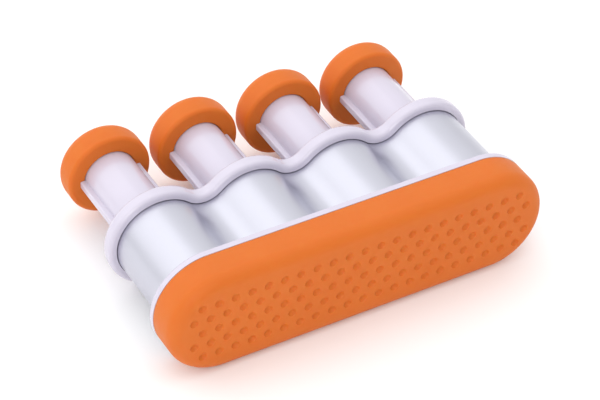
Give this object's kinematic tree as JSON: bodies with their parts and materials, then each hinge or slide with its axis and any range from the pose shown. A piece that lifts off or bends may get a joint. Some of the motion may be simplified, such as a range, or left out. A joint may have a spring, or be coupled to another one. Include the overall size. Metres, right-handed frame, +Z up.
{
  "type": "finger exerciser",
  "caption": "Hand-held finger exerciser: a row of sprung finger buttons in a lobed aluminium body on a soft, dimpled palm pad.",
  "frame": {"origin": "bottom centre of the whole object's box as it lies on the long side of its palm pad", "axes": "+X along the row of fingers from index to little, +Y along the buttons' slide from the palm pad towards the finger caps, +Z up through the object's thickness"},
  "size_m": [0.0902, 0.0612, 0.0249],
  "materials": {
    "soft_grip": "matte soft-touch thermoplastic rubber, orange",
    "white_plastic": "smooth moulded plastic, cool white",
    "satin_aluminium": "satin anodised extrusion, clear",
    "spring_steel": "drawn spring wire",
    "zinc_steel": "zinc-plated screws"
  },
  "bodies": {
    "grip_body": {"palm_pad": "soft_grip", "base_plate": "white_plastic", "body_shell": "satin_aluminium", "guide_collar": "white_plastic", "base_screws": "zinc_steel", "index_spring": "spring_steel", "middle_spring": "spring_steel", "ring_spring": "spring_steel", "little_spring": "spring_steel"},
    "index_button": {"index_plunger_stem": "white_plastic", "index_button_core": "white_plastic", "index_core_screw": "zinc_steel", "index_finger_cap": "soft_grip"},
    "middle_button": {"middle_plunger_stem": "white_plastic", "middle_button_core": "white_plastic", "middle_core_screw": "zinc_steel", "middle_finger_cap": "soft_grip"},
    "ring_button": {"ring_plunger_stem": "white_plastic", "ring_button_core": "white_plastic", "ring_core_screw": "zinc_steel", "ring_finger_cap": "soft_grip"},
    "little_button": {"little_plunger_stem": "white_plastic", "little_button_core": "white_plastic", "little_core_screw": "zinc_steel", "little_finger_cap": "soft_grip"}
  },
  "joints": [
    {"name": "index_press", "type": "slide", "parent": "grip_body", "child": "index_button", "axis": [0, -1, 0], "range_m": [0, 0.013], "stiffness_N_per_m": 600, "springref_m": -0.008, "deforming": ["index_spring"]},
    {"name": "middle_press", "type": "slide", "parent": "grip_body", "child": "middle_button", "axis": [0, -1, 0], "range_m": [0, 0.013], "stiffness_N_per_m": 600, "springref_m": -0.008, "deforming": ["middle_spring"]},
    {"name": "ring_press", "type": "slide", "parent": "grip_body", "child": "ring_button", "axis": [0, -1, 0], "range_m": [0, 0.013], "stiffness_N_per_m": 600, "springref_m": -0.008, "deforming": ["ring_spring"]},
    {"name": "little_press", "type": "slide", "parent": "grip_body", "child": "little_button", "axis": [0, -1, 0], "range_m": [0, 0.013], "stiffness_N_per_m": 600, "springref_m": -0.008, "deforming": ["little_spring"]}
  ]
}
